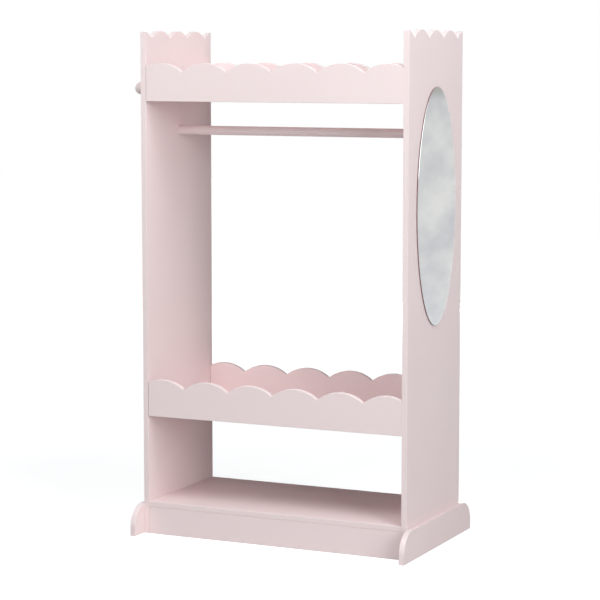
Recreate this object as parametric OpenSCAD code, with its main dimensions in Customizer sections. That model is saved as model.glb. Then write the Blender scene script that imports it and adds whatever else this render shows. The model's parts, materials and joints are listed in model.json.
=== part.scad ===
// Dress-up storage unit for a child's room: two side panels with scalloped tops carry
// two scalloped trays, a hanging rod and a bottom shelf on a plinth. Foot bars steady it,
// an oval mirror is on the right side and three pegs are on the left side.
// Flat-pack boards of painted fibreboard, joined with cam fittings, dowels and screws.
// Millimetres, +Z up, front towards -Y. The origin is at the middle of the footprint.

/* [Carcass] */
// Clear width between the two side panels
inner_w = 600; // [500:5:900]
// Depth of the side panels, front to back
depth = 305; // [280:5:450]
// Height of the side panels at the crests of their scallops
height = 1100; // [950:10:1500]
// Thickness of the boards
board_t = 12; // [12:0.5:18]
// Radius of the rounded long edges of the boards
edge_r = 1; // [0.5:0.5:4]

/* [Trays and shelf] */
// Height of the plinth under the bottom shelf
kick_h = 60; // [50:1:120]
// Underside of the lower tray above the floor
lower_tray_z = 262; // [200:1:400]
// Underside of the upper tray below the side panels' crests
upper_tray_drop = 151; // [130:1:260]
// Height of a tray rail at the crests of its scallops
rail_h = 82; // [70:1:105]

/* [Scallops] */
// Distance between two crests on a tray rail
rail_pitch = 106; // [60:1:140]
// Depth of the valleys on a tray rail
rail_dip = 19; // [8:0.5:24]
// Distance between two crests on top of a side panel
panel_pitch = 81.4; // [50:0.1:110]
// Depth of the valleys on top of a side panel
panel_dip = 17.5; // [8:0.5:22]

/* [Hanging rod] */
// Diameter of the hanging rod
rod_d = 20; // [16:1:28]
// Middle of the rod below the underside of the upper tray
rod_drop = 66; // [40:1:120]
// Depth of the blind socket in each side panel that holds an end of the rod
rod_seat = 8; // [5:0.5:9]

/* [Foot bars] */
// Height of a foot bar
foot_h = 66; // [55:1:90]
// Thickness of a foot bar
foot_t = 12; // [10:0.5:18]
// Length of a foot bar past the front and the back of its side panel
foot_reach = 42; // [20:1:80]
// Radius of a foot bar's two upper corners
foot_corner_r = 47; // [10:1:54]

/* [Mirror] */
// Width of the oval mirror
mirror_w = 218; // [120:1:250]
// Height of the oval mirror
mirror_h = 504; // [300:1:700]
// Top of the mirror below the side panels' crests
mirror_drop = 118; // [60:1:200]
// Thickness of the mirror
mirror_t = 3; // [2:0.5:6]
// Width of the bevel round the mirror's edge
mirror_bevel = 6.5; // [2:0.5:15]
// Depth of the bevel at the mirror's edge
bevel_depth = 1; // [0.5:0.1:1.5]
// Width of a strip of the foam tape that holds the mirror
tape_w = 25; // [12:1:30]
// Thickness of the foam tape
tape_t = 0.8; // [0.5:0.1:2]
// Distance of the outer strips of tape from the middle one
tape_pitch = 55; // [35:1:60]

/* [Side pegs] */
// Distance between two pegs
peg_pitch = 101; // [60:1:105]
// Middle of the pegs above the floor of the upper tray
peg_rise = 15; // [12:1:30]
// Diameter of a peg's round head
peg_head_d = 26; // [18:1:36]
// Diameter of a peg's neck
peg_neck_d = 15; // [12:0.5:18]
// Length of a peg, from the side panel to the tip of its head
peg_reach = 41; // [36:0.5:60]

/* [Cam fittings] */
// Diameter of a cam lock
cam_d = 15; // [12:0.5:16]
// Middle of a cam lock behind the end of its board
cam_inset = 24; // [20:1:34]
// Diameter of a cam bolt's thread
bolt_d = 5; // [4:0.5:6]
// Depth of a cam bolt's thread in the face of a board
bolt_seat = 8; // [6:0.5:9]
// Diameter of a cam bolt's head, which the cam lock grips
bolt_head_d = 6.2; // [5.5:0.1:6.4]
// Diameter of a cam bolt's collar
bolt_collar_d = 7; // [6.5:0.1:7.5]
// Distance of the outer rail fittings from the middle of a tray
rail_cam_x = 200; // [120:5:205]

/* [Dowels and screws] */
// Diameter of a dowel
dowel_d = 6; // [5:0.5:7]
// Depth of a dowel in the face of a board
dowel_seat = 8; // [6:0.5:9]
// Depth of a dowel in the end or the edge of a board
dowel_depth = 18; // [12:1:24]
// Middle of the outer dowels behind the front and back edges of a tray floor
dowel_inset = 25; // [18:1:30]
// Distance from a dowel to the cam fitting beside it
cam_to_dowel = 32; // [25:1:40]
// Distance of the plinth's dowels from the middle of the unit
kick_dowel_x = 180; // [100:5:200]
// Diameter of the screws in the foot bars and the pegs
screw_d = 4; // [3:0.5:5]
// Diameter of a screw's countersunk head
screw_head_d = 8; // [7:0.5:9]
// Depth of a screw in its foot bar
foot_grip = 8; // [6:0.5:9]
// Depth of a screw in its peg
peg_grip = 18; // [12:1:20]
// Distance between two screws in a foot bar
foot_screw_pitch = 100; // [60:5:110]

/* [Clearances] */
// Gap round a dowel, a bolt, a screw or a cam lock in its hole, and past its end
fit_gap = 0.1; // [0.05:0.05:0.2]
// Gap round the hanging rod in its sockets, and past its ends
rod_gap = 0.2; // [0.1:0.05:0.4]

/* [Hidden] */
$fn = 96;

// Colours
paint = [0.93, 0.85, 0.85];
rod_paint = [0.80, 0.71, 0.72];
silver = [0.80, 0.82, 0.83];
foam = [0.93, 0.93, 0.90];
beech = [0.80, 0.66, 0.48];
zinc = [0.72, 0.73, 0.75];

// Ends of the unit: the pegs reach further out than a foot bar, so the boards
// stand off the middle of the footprint
LEFT = -1;
RIGHT = 1;
unit_x = (peg_reach - foot_t) / 2;
left_in = unit_x - inner_w / 2;
right_in = unit_x + inner_w / 2;

// Front and back
FRONT = -1;
BACK = 1;

// Heights of the horizontal boards' undersides, and of what follows them
upper_tray_z = height - upper_tray_drop;
rod_z = upper_tray_z - rod_drop;
peg_z = upper_tray_z + board_t + peg_rise;
mirror_z = height - mirror_drop - mirror_h / 2;
rail_dowel_z = (rail_h - rail_dip) / 2;
foot_screw_z = foot_h / 2;

// Places of the fittings that join a horizontal board to the side panels
side_dowel_y = depth / 2 - board_t - dowel_inset;
side_cam_y = side_dowel_y - cam_to_dowel;

// Cam fittings: a lock fills its board but for a thin skin
cam_skin = 2;
cam_h = board_t - cam_skin;
collar_t = 1.5;
head_len = 4;
neck_d = 4;
slot_w = 1.6;
slot_depth = 1.2;

// Screws
countersink_h = 2.4;
recess_depth = 1;
recess_w = 0.9;

// Length by which a cutter passes a face
over = 1;

// ---- Outlines ----

// Board outline, len wide and top high, whose upper edge is a row of arcs.
// shift is the place of one crest from the middle, as a share of the pitch.
module scalloped_outline(len, top, pitch, dip, shift) {
    arc_r = (pow(pitch / 2, 2) + pow(dip, 2)) / (2 * dip);
    arcs = ceil(len / pitch / 2);
    intersection() {
        translate([-len / 2, 0]) square([len, top + over]);
        union() {
            translate([-len / 2, 0]) square([len, top - dip]);
            for (i = [-arcs - 1 : arcs])
                translate([(i + shift) * pitch, top - arc_r]) circle(arc_r);
        }
    }
}

// Rectangle with rounded corners, its lower left corner at the origin
module rounded_rect(w, h, r) {
    translate([r, 0]) square([w - 2 * r, h]);
    translate([0, r]) square([w, h - 2 * r]);
    for (x = [r, w - r], y = [r, h - r])
        translate([x, y]) circle(r);
}

// Rectangle with two round upper corners, the middle of its lower side at the origin
module round_topped(w, h, r) {
    intersection() {
        translate([-w / 2, 0]) square([w, h]);
        union() {
            translate([-w / 2, 0]) square([w, h - r]);
            translate([r - w / 2, 0]) square([w - 2 * r, h]);
            for (x = [r - w / 2, w / 2 - r])
                translate([x, h - r]) circle(r);
        }
    }
}

// Oval, w wide and h high
module oval(w, h) {
    steps = 144;
    polygon([for (i = [0 : steps - 1])
        [w / 2 * cos(360 * i / steps), h / 2 * sin(360 * i / steps)]]);
}

// Stands an outline up: its own X and Y become Y and Z, and it is t thick along +X
module stand_x(t) {
    rotate([90, 0, 90]) linear_extrude(t) children();
}

// ---- Places ----

// One end of the unit: X is 0 on the side panel's inner face and grows inwards
module at_end(end) {
    if (end == LEFT)
        translate([left_in, 0, 0]) children();
    else
        translate([right_in, 0, 0]) mirror([1, 0, 0]) children();
}

// Each fitting's own X starts at the joint and runs into the board that holds the cam
// lock or the deep end of the dowel. The cam lock opens on that board's lower face.

// Cam fittings between the side panels and a board with its underside at z
module side_cams(z, ends = [LEFT, RIGHT]) {
    for (end = ends, y = [-side_cam_y, side_cam_y])
        at_end(end) translate([0, y, z + board_t / 2]) children();
}

// Dowels between the side panels and a board with its underside at z
module side_dowels(z, ends = [LEFT, RIGHT]) {
    for (end = ends, y = [-side_dowel_y, side_dowel_y])
        at_end(end) translate([0, y, z + board_t / 2]) children();
}

// Cam fittings between a tray's floor and its front or back rails
module rail_cams(z, sides = [FRONT, BACK]) {
    for (side = sides, x = [-rail_cam_x, 0, rail_cam_x])
        translate([unit_x + x, side * (depth / 2 - board_t), z + board_t / 2])
            rotate([0, 0, -side * 90]) children();
}

// Dowels between the side panels and the ends of a tray's front or back rails
module rail_dowels(z, ends = [LEFT, RIGHT], sides = [FRONT, BACK]) {
    for (end = ends, side = sides)
        at_end(end) translate([0, side * (depth - board_t) / 2, z + rail_dowel_z]) children();
}

// Cam fittings between the side panels and the kick boards; the locks open inwards
module kick_cams(ends = [LEFT, RIGHT], sides = [FRONT, BACK]) {
    for (end = ends, side = sides)
        at_end(end) translate([0, side * (depth - board_t) / 2, kick_h / 2])
            rotate([-side * 90, 0, 0]) children();
}

// Dowels between the bottom shelf and the upper edges of the kick boards
module kick_dowels(sides = [FRONT, BACK]) {
    for (side = sides, x = [-kick_dowel_x, kick_dowel_x])
        translate([unit_x + x, side * (depth - board_t) / 2, kick_h])
            rotate([0, 90, 0]) children();
}

// Screws of one foot bar, driven outwards from the side panel's inner face
module foot_screw_places(end) {
    for (i = [-1 : 1])
        at_end(end) translate([0, i * foot_screw_pitch, foot_screw_z])
            rotate([0, -90, 0]) children();
}

// Screw of one peg, driven outwards from inside the upper tray; i counts from the middle
module peg_screw_place(i) {
    at_end(LEFT) translate([0, i * peg_pitch, peg_z]) rotate([0, -90, 0]) children();
}

// ---- Fittings and their holes ----

// Cylinder along X from x1 to x2
module bar_x(d, x1, x2) {
    translate([x1, 0, 0]) rotate([0, 90, 0]) cylinder(d = d, h = x2 - x1);
}

// Bolt with a threaded end in the face, a collar, a thin neck and a head in the lock
module cam_bolt() {
    color(zinc) {
        bar_x(bolt_d, -bolt_seat, fit_gap);
        bar_x(bolt_collar_d, fit_gap, collar_t);
        bar_x(bolt_d, collar_t, cam_inset - cam_d / 2 - over);
        bar_x(neck_d, cam_inset - cam_d / 2 - over, cam_inset - head_len / 2);
        bar_x(bolt_head_d, cam_inset - head_len / 2, cam_inset + head_len / 2);
    }
}

module cam_bolt_face_hole() {
    bar_x(bolt_d + 2 * fit_gap, -bolt_seat - fit_gap, over);
}

// Lock: a short drum with a throat for the bolt and a cross slot for the driver
module cam_lock() {
    color(zinc) translate([cam_inset, 0, -board_t / 2]) difference() {
        cylinder(d = cam_d, h = cam_h);
        translate([0, 0, board_t / 2])
            bar_x(bolt_head_d + 4 * fit_gap, -cam_d, head_len / 2 + 2 * fit_gap);
        for (turn = [0, 90])
            rotate([0, 0, turn + 45])
                translate([-cam_d / 3, -slot_w / 2, -over])
                    cube([cam_d * 2 / 3, slot_w, slot_depth + over]);
    }
}

module cam_holes() {
    bar_x(bolt_collar_d + 2 * fit_gap, -over, cam_inset);
    translate([cam_inset, 0, -board_t / 2 - over])
        cylinder(d = cam_d + 2 * fit_gap, h = cam_h + fit_gap + over);
}

module dowel() {
    color(beech) bar_x(dowel_d, -dowel_seat, dowel_depth);
}

module dowel_face_hole() {
    bar_x(dowel_d + 2 * fit_gap, -dowel_seat - fit_gap, over);
}

module dowel_end_hole() {
    bar_x(dowel_d + 2 * fit_gap, -over, dowel_depth + fit_gap);
}

// Countersunk screw along +Z, the top of its head at the origin
module screw(len) {
    color(zinc) difference() {
        union() {
            cylinder(d1 = screw_head_d, d2 = screw_d, h = countersink_h);
            cylinder(d = screw_d, h = len);
        }
        for (turn = [0, 90])
            rotate([0, 0, turn])
                translate([-screw_d / 2, -recess_w / 2, -over])
                    cube([screw_d, recess_w, recess_depth + over]);
    }
}

module screw_hole(len) {
    translate([0, 0, -over]) cylinder(d = screw_d + 2 * fit_gap, h = len + over + fit_gap);
    cylinder(d1 = screw_head_d + 2 * fit_gap, d2 = screw_d + 2 * fit_gap, h = countersink_h);
    translate([0, 0, -over]) cylinder(d = screw_head_d + 2 * fit_gap, h = over);
}

// ---- Boards ----

// Side panel without holes, outside its inner face
module panel_blank() {
    intersection() {
        translate([-board_t, -depth / 2, 0])
            linear_extrude(height + over) rounded_rect(board_t, depth, edge_r);
        translate([-board_t - over, 0, 0]) stand_x(board_t + 2 * over)
            scalloped_outline(depth + 2 * over, height, panel_pitch, panel_dip, 0);
    }
}

// Side panel with the holes that both ends have
module side_panel(end) {
    difference() {
        at_end(end) panel_blank();
        for (z = [kick_h, lower_tray_z, upper_tray_z]) {
            side_cams(z, [end]) cam_bolt_face_hole();
            side_dowels(z, [end]) dowel_face_hole();
        }
        for (z = [lower_tray_z, upper_tray_z])
            rail_dowels(z, [end]) dowel_face_hole();
        kick_cams([end]) cam_bolt_face_hole();
        foot_screw_places(end) screw_hole(board_t + over);
        at_end(end) translate([0, 0, rod_z])
            bar_x(rod_d + 2 * rod_gap, -rod_seat - rod_gap, over);
    }
}

module left_side_panel() {
    color(paint) difference() {
        side_panel(LEFT);
        for (i = [-1 : 1])
            peg_screw_place(i) screw_hole(board_t + over);
    }
}

module right_side_panel() {
    color(paint) side_panel(RIGHT);
}

// Floor of a tray with its underside at z, between the rails
module tray_floor(z) {
    color(paint) difference() {
        translate([left_in, board_t - depth / 2, z])
            cube([inner_w, depth - 2 * board_t, board_t]);
        side_cams(z) cam_holes();
        rail_cams(z) cam_holes();
        side_dowels(z) dowel_end_hole();
    }
}

// Front or back rail of a tray: rounded lower edges, scalloped upper edge
module tray_rail(z, side) {
    color(paint) difference() {
        translate([0, side * (depth - board_t) / 2, z]) intersection() {
            translate([left_in, -board_t / 2, 0])
                stand_x(inner_w) rounded_rect(board_t, rail_h + edge_r, edge_r);
            translate([unit_x, board_t / 2, 0]) rotate([90, 0, 0]) linear_extrude(board_t)
                scalloped_outline(inner_w, rail_h, rail_pitch, rail_dip, 0.5);
        }
        rail_cams(z, [side]) cam_bolt_face_hole();
        rail_dowels(z, [LEFT, RIGHT], [side]) dowel_end_hole();
    }
}

module upper_tray_floor() tray_floor(upper_tray_z);
module upper_tray_front_rail() tray_rail(upper_tray_z, FRONT);
module upper_tray_back_rail() tray_rail(upper_tray_z, BACK);
module lower_tray_floor() tray_floor(lower_tray_z);
module lower_tray_front_rail() tray_rail(lower_tray_z, FRONT);
module lower_tray_back_rail() tray_rail(lower_tray_z, BACK);

// Bottom shelf: as deep as the side panels, on top of the kick boards
module bottom_shelf() {
    color(paint) difference() {
        translate([left_in, 0, kick_h])
            stand_x(inner_w) round_topped(depth, board_t, edge_r);
        side_cams(kick_h) cam_holes();
        side_dowels(kick_h) dowel_end_hole();
        kick_dowels() dowel_face_hole();
    }
}

// Kick board: an upright board that closes the plinth
module kick_board(side) {
    color(paint) difference() {
        translate([left_in, side * (depth - board_t) / 2 - board_t / 2, 0])
            cube([inner_w, board_t, kick_h]);
        kick_cams([LEFT, RIGHT], [side]) cam_holes();
        kick_dowels([side]) dowel_end_hole();
    }
}

module front_kick_board() kick_board(FRONT);
module back_kick_board() kick_board(BACK);

// ---- Rod and foot bars ----

// The rod is trapped between the side panels, its ends in their blind sockets
module hanging_rod() {
    color(rod_paint) translate([0, 0, rod_z])
        bar_x(rod_d, left_in - rod_seat, right_in + rod_seat);
}

// Foot bar on the outer face of one side panel
module foot_bar(end) {
    color(paint) difference() {
        at_end(end) translate([-board_t - foot_t, 0, 0])
            stand_x(foot_t) round_topped(depth + 2 * foot_reach, foot_h, foot_corner_r);
        foot_screw_places(end) screw_hole(board_t + foot_grip);
    }
}

module left_foot_bar() foot_bar(LEFT);
module right_foot_bar() foot_bar(RIGHT);
module left_foot_screws() foot_screw_places(LEFT) screw(board_t + foot_grip);
module right_foot_screws() foot_screw_places(RIGHT) screw(board_t + foot_grip);

// ---- Mirror ----

// Puts X at 0 on the right side panel's outer face, at the middle of the mirror
module at_mirror() {
    translate([right_in + board_t, 0, mirror_z]) children();
}

// Oval glass with a bevel round its outer face
module mirror_glass() {
    color(silver) at_mirror() translate([tape_t, 0, 0]) hull() {
        stand_x(mirror_t - bevel_depth) oval(mirror_w, mirror_h);
        stand_x(mirror_t) oval(mirror_w - 2 * mirror_bevel, mirror_h - 2 * mirror_bevel);
    }
}

// Upright strips of foam tape, each a little shorter than the oval is there
module mirror_tape() {
    end_margin = 20;
    color(foam) at_mirror()
        for (y = [-tape_pitch, 0, tape_pitch]) {
            reach = (abs(y) + tape_w / 2) / (mirror_w / 2);
            len = mirror_h * sqrt(1 - pow(reach, 2)) - 2 * end_margin;
            translate([0, y - tape_w / 2, -len / 2]) cube([tape_t, tape_w, len]);
        }
}

// ---- Pegs ----

// Turned peg with a round head; i counts from the middle one
module side_peg(i) {
    color(paint) difference() {
        peg_screw_place(i) translate([0, 0, board_t]) {
            cylinder(d = peg_neck_d, h = peg_reach - peg_head_d / 2);
            translate([0, 0, peg_reach - peg_head_d / 2]) sphere(d = peg_head_d);
        }
        peg_screw_place(i) screw_hole(board_t + peg_grip);
    }
}

module front_side_peg() side_peg(-1);
module middle_side_peg() side_peg(0);
module back_side_peg() side_peg(1);

module peg_screws() {
    for (i = [-1 : 1])
        peg_screw_place(i) screw(board_t + peg_grip);
}

// ---- Hidden fittings ----

module tray_cam_bolts(z) {
    side_cams(z) cam_bolt();
    rail_cams(z) cam_bolt();
}

module tray_cam_locks(z) {
    side_cams(z) cam_lock();
    rail_cams(z) cam_lock();
}

module tray_dowels(z) {
    side_dowels(z) dowel();
    rail_dowels(z) dowel();
}

module upper_tray_cam_bolts() tray_cam_bolts(upper_tray_z);
module upper_tray_cam_locks() tray_cam_locks(upper_tray_z);
module upper_tray_dowels() tray_dowels(upper_tray_z);
module lower_tray_cam_bolts() tray_cam_bolts(lower_tray_z);
module lower_tray_cam_locks() tray_cam_locks(lower_tray_z);
module lower_tray_dowels() tray_dowels(lower_tray_z);
module bottom_shelf_cam_bolts() side_cams(kick_h) cam_bolt();
module bottom_shelf_cam_locks() side_cams(kick_h) cam_lock();
module bottom_shelf_dowels() side_dowels(kick_h) dowel();
module kick_board_cam_bolts() kick_cams() cam_bolt();
module kick_board_cam_locks() kick_cams() cam_lock();
module kick_board_dowels() kick_dowels() dowel();

left_side_panel();
right_side_panel();
upper_tray_floor();
upper_tray_front_rail();
upper_tray_back_rail();
lower_tray_floor();
lower_tray_front_rail();
lower_tray_back_rail();
bottom_shelf();
front_kick_board();
back_kick_board();
hanging_rod();
left_foot_bar();
right_foot_bar();
mirror_glass();
mirror_tape();
front_side_peg();
middle_side_peg();
back_side_peg();
peg_screws();
left_foot_screws();
right_foot_screws();
upper_tray_cam_bolts();
upper_tray_cam_locks();
upper_tray_dowels();
lower_tray_cam_bolts();
lower_tray_cam_locks();
lower_tray_dowels();
bottom_shelf_cam_bolts();
bottom_shelf_cam_locks();
bottom_shelf_dowels();
kick_board_cam_bolts();
kick_board_cam_locks();
kick_board_dowels();
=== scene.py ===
import json
import math

import bmesh
import bpy
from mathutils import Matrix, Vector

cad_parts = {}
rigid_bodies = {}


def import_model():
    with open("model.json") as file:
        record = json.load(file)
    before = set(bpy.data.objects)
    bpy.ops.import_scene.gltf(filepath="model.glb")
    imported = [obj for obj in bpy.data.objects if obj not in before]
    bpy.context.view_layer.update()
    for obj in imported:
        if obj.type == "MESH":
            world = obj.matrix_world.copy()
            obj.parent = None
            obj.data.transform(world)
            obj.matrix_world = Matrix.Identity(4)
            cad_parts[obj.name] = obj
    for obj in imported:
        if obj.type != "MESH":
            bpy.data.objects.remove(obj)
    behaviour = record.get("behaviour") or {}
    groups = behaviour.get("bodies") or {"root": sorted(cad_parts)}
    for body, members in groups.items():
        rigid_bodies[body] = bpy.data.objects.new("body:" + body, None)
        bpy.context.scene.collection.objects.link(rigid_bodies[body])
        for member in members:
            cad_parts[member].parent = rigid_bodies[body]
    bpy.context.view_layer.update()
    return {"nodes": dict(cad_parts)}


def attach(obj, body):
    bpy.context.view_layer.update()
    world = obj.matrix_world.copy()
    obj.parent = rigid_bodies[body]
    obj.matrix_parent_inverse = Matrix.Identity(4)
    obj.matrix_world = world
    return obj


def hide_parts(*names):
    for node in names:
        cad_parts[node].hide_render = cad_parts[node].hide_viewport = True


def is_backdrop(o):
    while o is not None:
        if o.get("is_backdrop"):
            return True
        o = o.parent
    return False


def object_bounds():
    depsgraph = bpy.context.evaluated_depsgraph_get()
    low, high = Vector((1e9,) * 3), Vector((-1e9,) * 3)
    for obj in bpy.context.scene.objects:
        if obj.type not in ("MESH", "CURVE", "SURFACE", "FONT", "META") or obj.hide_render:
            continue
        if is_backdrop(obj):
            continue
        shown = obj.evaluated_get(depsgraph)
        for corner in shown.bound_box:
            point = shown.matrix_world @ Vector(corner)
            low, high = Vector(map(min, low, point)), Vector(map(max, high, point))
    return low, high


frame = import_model()
MM = 0.001


# ---- Side panels ----------------------------------------------------------------------------
# Two upright fibreboards, 12 mm thick, carry all the rest. Their tops are sawn into scallops,
# a router eases both faces' edges, and pale pink satin paint is sprayed on after drilling.

PANEL_DEPTH, PANEL_TOP, BOARD = 305 * MM, 1100 * MM, 12 * MM
PANEL_PITCH, PANEL_DIP, PANEL_CORNER = 81.4 * MM, 17.5 * MM, 2 * MM
INNER_LEFT, INNER_RIGHT = -285.5 * MM, 314.5 * MM
UNIT_X = (INNER_LEFT + INNER_RIGHT) / 2
EASE, FINE_EASE = 1 * MM, 0.5 * MM

# Places less than SAME apart are one, an edge that turns by more than SHARP radians is an
# arris, and a face looks straight along an axis when its normal has more than STRAIGHT of it.
SAME, SHARP, STRAIGHT = 1e-6, 1.0, 0.999


def deselect():
    if bpy.context.object and bpy.context.object.mode != "OBJECT":
        bpy.ops.object.mode_set(mode="OBJECT")
    bpy.ops.object.select_all(action="DESELECT")


def choose(piece):
    """Makes a piece the active one and the only one selected."""
    deselect()
    piece.select_set(True)
    bpy.context.view_layer.objects.active = piece


def newest(name):
    """Names the piece that the last operator made."""
    piece = bpy.context.object
    piece.name = piece.data.name = name
    return piece


def settle(piece):
    """Puts a piece's place, turn and size into its mesh."""
    choose(piece)
    bpy.ops.object.transform_apply(location=True, rotation=True, scale=True)


def pick(piece, kind, test):
    """Opens a piece in edit mode with only those VERT, EDGE or FACE parts chosen that pass."""
    choose(piece)
    bpy.ops.object.mode_set(mode="EDIT")
    bpy.ops.mesh.select_mode(type=kind)
    bpy.ops.mesh.select_all(action="DESELECT")
    mesh = bmesh.from_edit_mesh(piece.data)
    for part in {"VERT": mesh.verts, "EDGE": mesh.edges, "FACE": mesh.faces}[kind]:
        if test(part):
            part.select_set(True)
    bmesh.update_edit_mesh(piece.data)


def smooth(piece, angle=35):
    """Smooth shading up to an angle, with the flat faces kept flat."""
    choose(piece)
    bpy.ops.object.shade_smooth_by_angle(angle=math.radians(angle))
    weighted = piece.modifiers.new("flat_faces", "WEIGHTED_NORMAL")
    weighted.keep_sharp = True
    bpy.ops.object.modifier_apply(modifier=weighted.name)


def scallops(top, pitch, dip, crest, half, corner):
    """Height of a scalloped edge at x: arcs a pitch apart, one of them crested at crest, with the
    file's small radius in the valleys and a rounded corner at each end of the board."""
    file_r = 2 * MM
    arc = ((pitch / 2) ** 2 + dip ** 2) / (2 * dip)
    rise = math.sqrt((arc + file_r) ** 2 - (pitch / 2) ** 2)
    touch = file_r * (pitch / 2) / (arc + file_r)

    def height(x):
        off = abs((x - crest + pitch / 2) % pitch - pitch / 2)
        from_valley = pitch / 2 - off
        if from_valley < touch:
            z = top - arc + rise - math.sqrt(file_r ** 2 - from_valley ** 2)
        else:
            z = top - arc + math.sqrt(arc ** 2 - off ** 2)
        from_end = half - abs(x)
        if from_end < corner:
            z -= corner - math.sqrt(max(corner ** 2 - (corner - from_end) ** 2, 0))
        return z

    return height


def sawn_board(name, length, height, ease):
    """Board that stands on Z = 0, from Y = 0 to its thickness and along X from its middle, with
    a sawn upper edge. The router then runs round both its faces."""
    deselect()
    bpy.ops.mesh.primitive_grid_add(x_subdivisions=round(length / MM), y_subdivisions=1,
                                    size=1, rotation=(math.pi / 2, 0, 0))
    board = newest(name)
    board.scale = (length, 1, 1)
    settle(board)
    for v in board.data.vertices:
        v.co.z = height(v.co.x) if v.co.z > 0 else 0
    pick(board, "FACE", lambda f: True)
    bpy.ops.mesh.extrude_region_move(TRANSFORM_OT_translate={"value": (0, BOARD, 0)})
    bpy.ops.mesh.select_all(action="SELECT")
    bpy.ops.mesh.normals_make_consistent(inside=False)

    def arris(e):
        a, b = e.verts
        return abs(a.co.y - b.co.y) < SAME and e.calc_face_angle(0) > SHARP

    pick(board, "EDGE", arris)
    bpy.ops.mesh.bevel(offset=ease, segments=5, profile=0.5, clamp_overlap=False,
                       loop_slide=True)
    deselect()
    return board


def copied(blank, name, place):
    """A copy of a blank, with a mesh of its own, at its place."""
    choose(blank)
    bpy.ops.object.duplicate()
    piece = newest(name)
    piece.location = place
    settle(piece)
    return piece


# Each way into a board: the way itself, and the turn that points a drill bit along it
WAYS = {"+X": ((1, 0, 0), (0, math.pi / 2, 0)), "-X": ((-1, 0, 0), (0, -math.pi / 2, 0)),
        "+Y": ((0, 1, 0), (-math.pi / 2, 0, 0)), "-Y": ((0, -1, 0), (math.pi / 2, 0, 0)),
        "+Z": ((0, 0, 1), (0, 0, 0))}
BIT_PROUD = 0.02 * MM


def drill(board, holes):
    """Bores holes: each has the middle of its mouth, the way in, the width of its mouth, the
    width of its bottom and its depth."""
    deselect()
    for mouth_at, way, mouth, bottom, depth in holes:
        step, turn = WAYS[way]
        middle = [c + s * (depth - BIT_PROUD) / 2 for c, s in zip(mouth_at, step)]
        bpy.ops.mesh.primitive_cone_add(vertices=64, radius1=mouth / 2, radius2=bottom / 2,
                                        depth=depth + BIT_PROUD, location=middle,
                                        rotation=turn)
        bpy.context.object.name = "drill_bit"
    bits = [o for o in bpy.data.objects if o.name.startswith("drill_bit")]
    deselect()
    for bit in bits:
        bit.select_set(True)
    bpy.context.view_layer.objects.active = bits[0]
    if len(bits) > 1:
        bpy.ops.object.join()
    bit = bpy.context.object
    settle(bit)
    bores = board.modifiers.new("bores", "BOOLEAN")
    bores.object, bores.operation, bores.solver = bit, "DIFFERENCE", "EXACT"
    choose(board)
    bpy.ops.object.modifier_apply(modifier=bores.name)
    bpy.data.objects.remove(bit)


LOOKS_UP = 0.1


def mark_edges(piece, flat, highlight_from=0.0):
    """Keeps on the mesh which faces are worked edges that look up (1), where the paint gets a
    painted highlight and more gloss, and which are the board's flat faces, look down or lie lower
    than the height given (0)."""
    highlight_mask = piece.data.attributes.new("lit_edge_highlight", "FLOAT", "FACE")
    for face in piece.data.polygons:
        # Faces marked 1 get a painted highlight: a paler film, with more gloss
        no_highlight = flat(face.normal) or face.normal.z < LOOKS_UP or face.center.z < highlight_from
        highlight_mask.data[face.index].value = 0.0 if no_highlight else 1.0


def new_material(name):
    """A new node material with its tree, its shader and the Object coordinates."""
    material = bpy.data.materials.new(name)
    material.use_nodes = True
    tree = material.node_tree
    place = tree.nodes.new("ShaderNodeTexCoord").outputs["Object"]
    return material, tree, tree.nodes["Principled BSDF"], place


def feed(tree, value, socket):
    """Links an output socket to an input, or sets the input to a plain value."""
    if isinstance(value, bpy.types.NodeSocket):
        tree.links.new(value, socket)
    else:
        socket.default_value = value


def node(tree, kind, **sockets):
    """Adds a shader node and sets or links the inputs that are named."""
    made = tree.nodes.new(kind)
    for name, value in sockets.items():
        feed(tree, value, made.inputs[name.replace("_", " ")])
    return made


def sums(tree, operation, *values):
    """Adds a math node."""
    made = tree.nodes.new("ShaderNodeMath")
    made.operation = operation
    for value, socket in zip(values, made.inputs):
        feed(tree, value, socket)
    return made.outputs["Value"]


def noise(tree, place, scale, detail):
    return node(tree, "ShaderNodeTexNoise", Vector=place, Scale=scale,
                Detail=detail).outputs["Fac"]


def spread(tree, value, low, high, to_low, to_high):
    """Brings a value from one range to another."""
    return node(tree, "ShaderNodeMapRange", Value=value, From_Min=low, From_Max=high,
                To_Min=to_low, To_Max=to_high).outputs["Result"]


def mixed(tree, share, one, other):
    """Mixes two colours."""
    made = tree.nodes.new("ShaderNodeMix")
    made.data_type = "RGBA"
    feed(tree, share, made.inputs["Factor"])
    feed(tree, one, made.inputs["A"])
    feed(tree, other, made.inputs["B"])
    return made.outputs["Result"]


def relief(tree, shader, height, strength, distance):
    """Gives the shader a bump."""
    bump = node(tree, "ShaderNodeBump", Height=height, Strength=strength, Distance=distance)
    tree.links.new(bump.outputs["Normal"], shader.inputs["Normal"])


# A paler film mixed into the marked upper edges is a painted highlight. There the paint is also
# glossier and less rough
LIT_EDGE_FILM, LIT_EDGE_SHARE = (0.94, 0.83, 0.82, 1), 0.12
LIT_EDGE_GLOSS, LIT_EDGE_SLEEK = 0.6, 0.25


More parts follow.
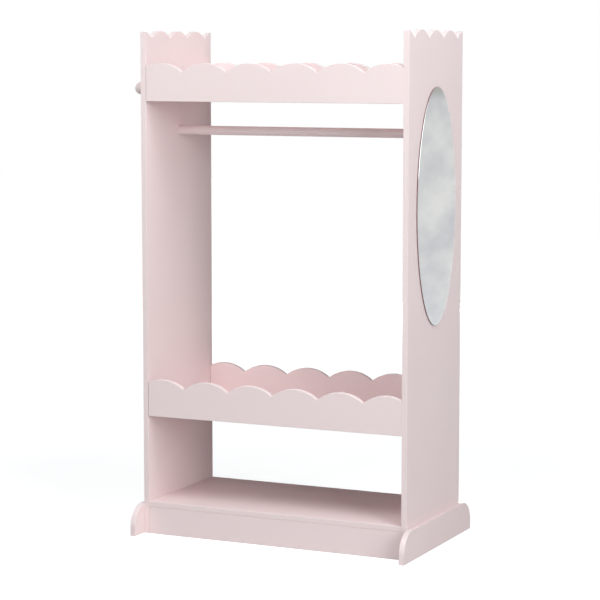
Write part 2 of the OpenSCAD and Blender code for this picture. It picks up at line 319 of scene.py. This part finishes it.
def satin_paint(name, colour, deep, roughness, gloss, stretch=(1, 1, 1), edged=True):
    """Sprayed satin paint over sanded wood: a faint orange peel, slow drifts of tone and patches
    a little glossier than others. On the marked upper edges the film is sleeker and glossier, a
    paler colour is mixed in as a painted highlight, and the board's fibres show through."""
    material, tree, shader, place = new_material(name)
    placed = node(tree, "ShaderNodeMapping", Vector=place, Scale=stretch).outputs["Vector"]
    tone = spread(tree, noise(tree, placed, 5.0, 3.0), 0.3, 0.7, 0.0, 1.0)
    body = mixed(tree, tone, (*colour, 1), (*deep, 1))
    dull = spread(tree, noise(tree, placed, 28.0, 5.0), 0.25, 0.75, roughness - 0.05,
                  roughness + 0.06)
    peel = noise(tree, placed, 420.0, 2.0)

    if edged:
        edge = tree.nodes.new("ShaderNodeAttribute")
        edge.attribute_name = "lit_edge_highlight"
        highlit_edge = edge.outputs["Fac"]
        highlight_mask = sums(tree, "MULTIPLY", noise(tree, placed, 70.0, 4.0), highlit_edge)
        # The paler film on the marked edges is a painted highlight
        body = mixed(tree, sums(tree, "MULTIPLY", highlight_mask, LIT_EDGE_SHARE), body, LIT_EDGE_FILM)
        dull = sums(tree, "MULTIPLY_ADD", highlit_edge, -LIT_EDGE_SLEEK, dull)
        gloss = spread(tree, highlit_edge, 0.0, 1.0, gloss, LIT_EDGE_GLOSS)
        peel = sums(tree, "MULTIPLY_ADD", noise(tree, placed, 1500.0, 3.0), highlit_edge, peel)

    feed(tree, body, shader.inputs["Base Color"])
    feed(tree, dull, shader.inputs["Roughness"])
    feed(tree, gloss, shader.inputs["Specular IOR Level"])
    relief(tree, shader, peel, 0.25, 0.12 * MM)
    return material


paint = satin_paint("painted_board", (0.885, 0.70, 0.702), (0.87, 0.683, 0.686),
                    roughness=0.6, gloss=0.06)

SOCKET_W, SOCKET_DEEP, ROD_Z = 20.4 * MM, 8.2 * MM, 883 * MM
FOOT_SCREW_Z, FOOT_SCREW_PITCH = 33 * MM, 100 * MM
PEG_Z, PEG_PITCH = 976 * MM, 101 * MM
SINK_MOUTH, SINK_BOTTOM, SINK_DEEP = 8.2 * MM, 4.2 * MM, 2.4 * MM

top_line = scallops(PANEL_TOP, PANEL_PITCH, PANEL_DIP, 0, PANEL_DEPTH / 2, PANEL_CORNER)
blank = sawn_board("panel_blank", PANEL_DEPTH, top_line, FINE_EASE)
blank.rotation_euler = (0, 0, math.pi / 2)
settle(blank)

for side, name in ((-1, "left_panel"), (1, "right_panel")):
    inner = INNER_LEFT if side < 0 else INNER_RIGHT
    panel = copied(blank, name, (inner if side < 0 else inner + BOARD, 0, 0))
    into = "-X" if side < 0 else "+X"
    holes = [((inner, 0, ROD_Z), into, SOCKET_W, SOCKET_W, SOCKET_DEEP)]
    holes += [((inner, i * FOOT_SCREW_PITCH, FOOT_SCREW_Z), into, SINK_MOUTH, SINK_BOTTOM,
               SINK_DEEP) for i in (-1, 0, 1)]
    if side < 0:
        holes += [((inner, i * PEG_PITCH, PEG_Z), into, SINK_MOUTH, SINK_BOTTOM, SINK_DEEP)
                  for i in (-1, 0, 1)]
    drill(panel, holes)
    smooth(panel)
    mark_edges(panel, lambda n: max(abs(n.x), abs(n.y)) > STRAIGHT)
    panel.data.materials.append(paint)
    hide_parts("left_side_panel" if side < 0 else "right_side_panel")
    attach(panel, "root")
bpy.data.objects.remove(blank)


# ---- Trays ----------------------------------------------------------------------------------
# Each tray is a fibreboard floor with a scalloped rail in front and one behind, all between
# the side panels. The rails are eased all round and leave a fine joint at their left ends.
# Their crests get a painted highlight and more gloss, but their valleys and the shaded lower back
# rail get none.

END_PLAY = 0.8 * MM
RAIL_LONG, RAIL_HIGH = INNER_RIGHT - INNER_LEFT - END_PLAY, 82 * MM
RAIL_PITCH, RAIL_DIP, RAIL_CORNER = 106 * MM, 19 * MM, 4 * MM
VALLEY_WITHOUT_HIGHLIGHT = 4 * MM

edge_line = scallops(RAIL_HIGH, RAIL_PITCH, RAIL_DIP, (RAIL_PITCH - END_PLAY) / 2,
                     RAIL_LONG / 2, RAIL_CORNER)
blank = sawn_board("rail_blank", RAIL_LONG, edge_line, EASE)
smooth(blank)

for tray, low in (("lower", 262 * MM), ("upper", 949 * MM)):
    for face, y in (("front", -PANEL_DEPTH / 2), ("back", PANEL_DEPTH / 2 - BOARD)):
        rail = copied(blank, f"{tray}_{face}_rail", (UNIT_X + END_PLAY / 2, y, low))
        # The lower back rail lies in shade, so it gets no painted highlight. On the other rails
        # the highlight stops short of the valleys
        if (tray, face) == ("lower", "back"):
            highlight_from = low + RAIL_HIGH
        else:
            highlight_from = low + RAIL_HIGH - RAIL_DIP + VALLEY_WITHOUT_HIGHLIGHT
        mark_edges(rail, lambda n: max(abs(n.x), abs(n.y)) > STRAIGHT, highlight_from)
        rail.data.materials.append(paint)
        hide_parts(f"{tray}_tray_{face}_rail")
        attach(rail, "root")
    frame["nodes"][f"{tray}_tray_floor"].material_slots[0].material = paint
bpy.data.objects.remove(blank)


# ---- Bottom shelf and plinth ----------------------------------------------------------------
# The shoe shelf is as deep as the side panels and lies on two upright kick boards. Their
# edges are eased too, and a hairline joint shows where the shelf meets the kick board.

HAIRLINE = 0.3 * MM
SHELF_LOW = 60 * MM
CAM_W, CAM_DEEP, CAM_IN, CAM_Y = 15.2 * MM, 10.1 * MM, 24 * MM, 83.5 * MM


def plain_board(name, low, high):
    """Square board between two corners."""
    deselect()
    bpy.ops.mesh.primitive_cube_add(size=1, location=[(a + b) / 2 for a, b in zip(low, high)],
                                    scale=[b - a for a, b in zip(low, high)])
    board = newest(name)
    settle(board)
    return board


def along(axis, test):
    """Chooses edges that run along one axis and whose middle passes the test."""
    def chosen(e):
        a, b = (v.co for v in e.verts)
        moved = [abs(p - q) > SAME for p, q in zip(a, b)]
        return moved == [axis == "X", axis == "Y", axis == "Z"] and test((a + b) / 2)
    return chosen


shelf = plain_board("shelf_board", (INNER_LEFT + HAIRLINE, -PANEL_DEPTH / 2, SHELF_LOW),
                    (INNER_RIGHT - HAIRLINE, PANEL_DEPTH / 2, SHELF_LOW + BOARD))
pick(shelf, "EDGE", along("X", lambda m: True))
bpy.ops.mesh.bevel(offset=EASE, segments=5, profile=0.5)
deselect()
drill(shelf, [((x, y, SHELF_LOW), "+Z", CAM_W, CAM_W, CAM_DEEP)
              for x in (INNER_LEFT + CAM_IN, INNER_RIGHT - CAM_IN) for y in (-CAM_Y, CAM_Y)])
smooth(shelf)
mark_edges(shelf, lambda n: n.z > STRAIGHT)
shelf.data.materials.append(paint)
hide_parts("bottom_shelf")
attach(shelf, "root")

blank = plain_board("kick_blank", (INNER_LEFT + HAIRLINE, 0, 0),
                    (INNER_RIGHT - HAIRLINE, BOARD, SHELF_LOW - HAIRLINE))
pick(blank, "EDGE", lambda e: True)
bpy.ops.mesh.bevel(offset=EASE, segments=5, profile=0.5)

for name, y in (("front_kick", -PANEL_DEPTH / 2), ("back_kick", PANEL_DEPTH / 2 - BOARD)):
    kick = copied(blank, name, (0, y, 0))
    inner, into = (y + BOARD, "-Y") if y < 0 else (y, "+Y")
    drill(kick, [((x, inner, SHELF_LOW / 2), into, CAM_W, CAM_W, CAM_DEEP)
                 for x in (INNER_LEFT + CAM_IN, INNER_RIGHT - CAM_IN)])
    smooth(kick)
    mark_edges(kick, lambda n: n.z > STRAIGHT)
    kick.data.materials.append(paint)
    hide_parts(f"{name}_board")
    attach(kick, "root")
bpy.data.objects.remove(blank)


# ---- Hanging rod ----------------------------------------------------------------------------
# A turned wooden rod in the same paint, its ends trapped in the blind sockets of the panels.
# It is sanded as it turns in the lathe, so the film has faint rings along it.

ROD_R, ROD_IN = 10 * MM, 7.6 * MM
ROD_LONG = INNER_RIGHT - INNER_LEFT + 2 * ROD_IN

deselect()
bpy.ops.mesh.primitive_cylinder_add(vertices=72, radius=ROD_R, depth=ROD_LONG,
                                    location=(UNIT_X, 0, ROD_Z), rotation=(0, math.pi / 2, 0))
rod = newest("rod")
settle(rod)
pick(rod, "EDGE", lambda e: abs(e.verts[0].co.x - e.verts[1].co.x) < SAME)
bpy.ops.mesh.bevel(offset=EASE, segments=3, profile=0.5)
deselect()
smooth(rod)
rod_paint = satin_paint("painted_rod", (0.855, 0.68, 0.68), (0.835, 0.661, 0.661),
                        roughness=0.4, gloss=0.5, stretch=(6, 1, 1), edged=False)
rod.data.materials.append(rod_paint)
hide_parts("hanging_rod")
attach(rod, "root")


# ---- Foot bars ------------------------------------------------------------------------------
# A bar screwed flat to the outside of each panel, longer than the panel is deep, keeps the
# unit from tipping. Its two upper corners are sawn round, and both faces' edges are eased.

FOOT_LONG, FOOT_HIGH, FOOT_THICK, FOOT_R = 389 * MM, 66 * MM, 12 * MM, 47 * MM

blank = plain_board("foot_blank", (0, -FOOT_LONG / 2, 0), (FOOT_THICK, FOOT_LONG / 2, FOOT_HIGH))
pick(blank, "EDGE", along("X", lambda m: m.z > FOOT_HIGH / 2))
bpy.ops.mesh.bevel(offset=FOOT_R, segments=28, profile=0.5)
pick(blank, "EDGE", lambda e: abs(e.verts[0].co.x - e.verts[1].co.x) < SAME
     and e.calc_face_angle(0) > SHARP)
bpy.ops.mesh.bevel(offset=EASE, segments=5, profile=0.5, clamp_overlap=False,
                   loop_slide=False)
smooth(blank)
mark_edges(blank, lambda n: n.z > STRAIGHT)
blank.data.materials.append(paint)

for name, x in (("left_foot", INNER_LEFT - BOARD - FOOT_THICK),
                ("right_foot", INNER_RIGHT + BOARD)):
    foot = copied(blank, name, (x, 0, 0))
    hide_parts(f"{name}_bar")
    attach(foot, "root")
bpy.data.objects.remove(blank)


# ---- Mirror ---------------------------------------------------------------------------------
# An oval of 3 mm float glass, silvered behind and with a polished bevel round its face. It is
# stuck to the right panel with foam tape, so a thin shadow runs round its edge.

MIRROR_W, MIRROR_H, MIRROR_Z = 218 * MM, 504 * MM, 730 * MM
TAPE, GLASS, BEVEL_W, BEVEL_D = 0.8 * MM, 3 * MM, 6.5 * MM, 1 * MM

deselect()
back_x = INNER_RIGHT + BOARD + TAPE
bpy.ops.mesh.primitive_circle_add(vertices=220, radius=1, fill_type="NGON",
                                  location=(back_x, 0, MIRROR_Z), rotation=(0, math.pi / 2, 0))
mirror = newest("oval_mirror")
mirror.scale = (MIRROR_H / 2, MIRROR_W / 2, 1)
settle(mirror)
pick(mirror, "FACE", lambda f: True)
bpy.ops.mesh.extrude_region_move(TRANSFORM_OT_translate={"value": (GLASS - BEVEL_D, 0, 0)})
bpy.ops.mesh.select_all(action="SELECT")
bpy.ops.mesh.normals_make_consistent(inside=False)
pick(mirror, "FACE", lambda f: f.normal.x > STRAIGHT)
bpy.ops.mesh.inset(thickness=BEVEL_W, depth=BEVEL_D, use_even_offset=True)
deselect()
smooth(mirror, 20)


def two_tone(tree, value, low, dark, high, light):
    """Colours a value: dark up to low, light from high."""
    ramp = tree.nodes.new("ShaderNodeValToRGB")
    tree.links.new(value, ramp.inputs["Fac"])
    first, last = ramp.color_ramp.elements
    first.position, first.color = low, (*dark, 1)
    last.position, last.color = high, (*light, 1)
    return ramp.outputs["Color"]


def silvered_glass():
    """Silver behind clear glass, seen from the front: a cool grey mirror whose colour holds a
    painted reflection, soft clouds that lie across it, duller and greener towards its top."""
    material, tree, shader, place = new_material("mirror_glass")
    placed = node(tree, "ShaderNodeMapping", Vector=place, Location=(6, 0, 0),
                  Scale=(1, 0.4, 1)).outputs["Vector"]
    # The grey clouds in the silver's colour are a painted reflection
    reflection_clouds = two_tone(tree, noise(tree, placed, 13.0, 3.0), 0.32, (0.495, 0.508, 0.53),
                      0.68, (0.675, 0.683, 0.668))
    # The darker, greener band at the top is a painted reflection too
    height = node(tree, "ShaderNodeSeparateXYZ", Vector=place).outputs["Z"]
    top = node(tree, "ShaderNodeMapRange", Value=height, From_Min=0.950, From_Max=0.976)
    top.interpolation_type = "SMOOTHSTEP"
    painted_reflection = mixed(tree, top.outputs["Result"], reflection_clouds, (0.345, 0.355, 0.335, 1))
    feed(tree, painted_reflection, shader.inputs["Base Color"])
    feed(tree, 1.0, shader.inputs["Metallic"])
    feed(tree, spread(tree, noise(tree, place, 40.0, 6.0), 0.3, 0.8, 0.02, 0.07),
         shader.inputs["Roughness"])
    relief(tree, shader, noise(tree, place, 9.0, 1.0), 0.2, 0.8 * MM)
    return material


def ground_glass_edge():
    """The ground side of the glass, its dark grey-pink colour a painted reflection of the pink
    paint and painted shade.
    """
    material, tree, shader, place = new_material("ground_glass_edge")
    grind = noise(tree, place, 900.0, 3.0)
    # Dark grey-pink: a painted reflection of the paint, and painted shade
    feed(tree, two_tone(tree, grind, 0.0, (0.24, 0.125, 0.13), 1.0, (0.33, 0.18, 0.185)),
         shader.inputs["Base Color"])
    relief(tree, shader, grind, 0.3, 0.1 * MM)
    feed(tree, 0.6, shader.inputs["Roughness"])
    feed(tree, 0.1, shader.inputs["Specular IOR Level"])
    return material


# The silver shows through the face and the bevel, whose normals have more of X than this
GLASS_FRONT = 0.5

mirror.data.materials.append(silvered_glass())
mirror.data.materials.append(ground_glass_edge())
for face in mirror.data.polygons:
    if face.normal.x < GLASS_FRONT:
        face.material_index = 1
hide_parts("mirror_glass")
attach(mirror, "root")


# ---- Foam tape ------------------------------------------------------------------------------
# Three upright strips of white closed-cell foam hold the mirror on its panel. No more than
# their edges can be seen, deep in the thin gap round the glass.


def speckled(name, light, dark, scale, roughness, bump_depth, metallic=0.0, stretch=(1, 1, 1)):
    """A finish with a fine grain of two tones that is also its relief."""
    material, tree, shader, place = new_material(name)
    placed = node(tree, "ShaderNodeMapping", Vector=place, Scale=stretch).outputs["Vector"]
    grain = noise(tree, placed, scale, 6.0)
    feed(tree, two_tone(tree, grain, 0.35, dark, 0.65, light), shader.inputs["Base Color"])
    feed(tree, spread(tree, grain, 0.3, 0.7, roughness + 0.08, roughness - 0.05),
         shader.inputs["Roughness"])
    relief(tree, shader, grain, 0.4, bump_depth)
    feed(tree, metallic, shader.inputs["Metallic"])
    return material


foam = speckled("foam_tape", (0.88, 0.87, 0.84), (0.74, 0.73, 0.70), 1800, 0.85, 0.2 * MM)
frame["nodes"]["mirror_tape"].material_slots[0].material = foam


# ---- Side pegs ------------------------------------------------------------------------------
# Three turned pegs with ball heads on the outside of the left panel, for bags and hats. Each
# is screwed on from inside the upper tray and painted with the boards.

PEG_HEAD, PEG_NECK, PEG_REACH = 26 * MM, 15 * MM, 41 * MM
PEG_WAIST, PEG_JOIN = 14.6 * MM, 15.2 * MM
BALL_RINGS, POLE = 19, math.radians(2)

# Rings of the peg, each with its distance from the panel and its radius: a flared foot, the
# neck and its slight waist, and the ball from where the neck joins it to near its pole
ball = PEG_HEAD / 2
middle = PEG_REACH - ball
start = math.asin(PEG_JOIN / 2 / ball)
join = middle - ball * math.cos(start)
rings = [(0.0, 8.6 * MM), (0.6 * MM, 8.3 * MM), (1.4 * MM, 7.8 * MM), (3 * MM, PEG_NECK / 2),
         (10 * MM, PEG_WAIST / 2), (join - 1.6 * MM, PEG_WAIST / 2),
         (join - 0.5 * MM, PEG_NECK / 2)]
for i in range(BALL_RINGS):
    turn = start + (math.pi - start) * i / BALL_RINGS
    rings.append((middle - ball * math.cos(turn), ball * math.sin(turn)))
rings.append((middle + ball * math.cos(POLE), ball * math.sin(POLE)))

# A disc on the panel is drawn out to the left, ring by ring, into a peg
outer = INNER_LEFT - BOARD
deselect()
bpy.ops.mesh.primitive_circle_add(vertices=56, radius=rings[0][1], fill_type="NGON",
                                  location=(outer, 0, PEG_Z), rotation=(0, -math.pi / 2, 0))
blank = newest("peg_blank")
settle(blank)
pick(blank, "FACE", lambda f: True)
for (near, wide), (far, next_wide) in zip(rings, rings[1:]):
    bpy.ops.mesh.extrude_region_move(TRANSFORM_OT_translate={"value": (near - far, 0, 0)})
    size = next_wide / wide
    bpy.ops.transform.resize(value=(1, size, size), center_override=(outer - far, 0, PEG_Z))
bpy.ops.mesh.select_all(action="SELECT")
bpy.ops.mesh.normals_make_consistent(inside=False)
smooth(blank, 40)
blank.data.materials.append(paint)

for i, name in ((-1, "front"), (0, "middle"), (1, "back")):
    peg = copied(blank, f"{name}_peg", (0, i * PEG_PITCH, 0))
    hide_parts(f"{name}_side_peg")
    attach(peg, "root")
bpy.data.objects.remove(blank)


# ---- Screws, cam fittings and dowels --------------------------------------------------------
# Countersunk steel screws hold the foot bars and pegs. Zinc cam locks in the undersides grip
# the bolts in the next board, and plain beech dowels keep each joint in line.

steel = speckled("screw_steel", (0.72, 0.73, 0.74), (0.55, 0.56, 0.58), 900, 0.28, 0.04 * MM,
                 metallic=1.0)
zinc = speckled("cast_zinc", (0.60, 0.61, 0.63), (0.44, 0.45, 0.47), 600, 0.42, 0.08 * MM,
                metallic=1.0)
beech = speckled("beech_dowel", (0.66, 0.46, 0.28), (0.52, 0.34, 0.19), 160, 0.6, 0.1 * MM,
                 stretch=(0.1, 1, 1))
for name in ("peg_screws", "left_foot_screws", "right_foot_screws"):
    frame["nodes"][name].material_slots[0].material = steel
for joint in ("upper_tray", "lower_tray", "bottom_shelf", "kick_board"):
    frame["nodes"][f"{joint}_cam_bolts"].material_slots[0].material = steel
    frame["nodes"][f"{joint}_cam_locks"].material_slots[0].material = zinc
    frame["nodes"][f"{joint}_dowels"].material_slots[0].material = beech


# ---- Studio ---------------------------------------------------------------------------------
# A white floor that keeps the unit's faint contact shadow, soft boxes near and far, and a long
# lens at the photograph's angle. The floor is lifted to plain white away from the unit.

FLOOR_WIDE, FLOOR_LIFT, NEAR_UNIT, FAR_OUT = 24, 0.70, 1.0, 3.2


def background_rays(tree):
    """1 for the rays that see the plain white background: the camera's own, and those that
    metal and glass turn or let through."""
    path = tree.nodes.new("ShaderNodeLightPath")
    seen = path.outputs["Is Camera Ray"]
    for kind in ("Is Glossy Ray", "Is Transmission Ray"):
        seen = sums(tree, "MAXIMUM", seen, path.outputs[kind])
    return seen


deselect()
bpy.ops.mesh.primitive_plane_add(size=FLOOR_WIDE, location=(0, 0, 0))
floor = newest("studio_floor")
floor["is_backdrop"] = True
floor_paint, tree, shader, place = new_material("studio_floor")
feed(tree, (0.60, 0.60, 0.60, 1), shader.inputs["Base Color"])
feed(tree, 0.9, shader.inputs["Roughness"])
feed(tree, 0.0, shader.inputs["Specular IOR Level"])
away = tree.nodes.new("ShaderNodeVectorMath")
away.operation = "LENGTH"
tree.links.new(place, away.inputs[0])
lift = spread(tree, away.outputs["Value"], NEAR_UNIT, FAR_OUT, FLOOR_LIFT, 1.0)
feed(tree, (1, 1, 1, 1), shader.inputs["Emission Color"])
feed(tree, sums(tree, "MULTIPLY", lift, background_rays(tree)),
     shader.inputs["Emission Strength"])
floor.data.materials.append(floor_paint)

world = bpy.data.worlds.new("studio_air")
bpy.context.scene.world = world
world.use_nodes = True
air = world.node_tree.nodes["Background"]
air.inputs["Color"].default_value = (1, 1, 1, 1)
feed(world.node_tree, background_rays(world.node_tree), air.inputs["Strength"])

COOL_WHITE = (0.91, 1.0, 1.0)


def soft_box(name, bearing, rise, away, aim_z, size, watts):
    """A flat soft box: its bearing round the unit (0 in front, 90 on the mirror's side), its
    rise in degrees and its distance, from the point over the floor's middle that it faces."""
    turn, up = math.radians(bearing), math.radians(rise)
    place = (away * math.sin(turn) * math.cos(up), -away * math.cos(turn) * math.cos(up),
             aim_z + away * math.sin(up))
    deselect()
    bpy.ops.object.light_add(type="AREA", location=place,
                             rotation=(math.pi / 2 - up, 0, turn))
    lamp = bpy.context.object
    lamp.name = lamp.data.name = name
    lamp.data.shape = "RECTANGLE"
    lamp.data.size, lamp.data.size_y = size
    lamp.data.energy = watts
    lamp.data.color = COOL_WHITE


soft_box("front_low_box", 0, 12, 4.2, 0.6, (2.0, 2.0), 31.5)
soft_box("front_high_box", 0, 50, 2.7, 0.8, (1.2, 1.2), 27)
soft_box("left_high_box", -35, 50, 2.7, 0.8, (1.2, 1.2), 11)
soft_box("right_high_box", 60, 50, 2.7, 0.8, (1.2, 1.2), 31)
soft_box("right_low_box", 60, 20, 2.7, 0.8, (1.2, 1.2), 11.5)
soft_box("far_right_box", 60, 10, 7.5, 0.6, (3.2, 3.2), 186)
soft_box("mirror_side_box", 90, 35, 2.2, 0.9, (1.0, 1.0), 4)
soft_box("peg_side_box", -90, 12, 4.2, 0.6, (0.8, 0.8), 50)
soft_box("rear_box", 190, 0, 4.4, 0.06, (1.0, 0.1), 120)
soft_box("bevel_strip", 136.8, 0, 3.22, 0.96, (0.35, 0.58), 1.4)

CAMERA_AT = (1.96594, -4.17440, 1.04578)
CAMERA_DOWN, CAMERA_ROUND = math.radians(6.551), math.radians(25.101)
FILM_WIDTH, LENS = 36, 127.434

deselect()
bpy.ops.object.camera_add(location=CAMERA_AT,
                          rotation=(math.pi / 2 - CAMERA_DOWN, 0, CAMERA_ROUND))
camera = bpy.context.object
camera.data.sensor_width, camera.data.lens = FILM_WIDTH, LENS
bpy.context.scene.camera = camera
bpy.context.scene.view_settings.view_transform = "Standard"

low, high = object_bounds()
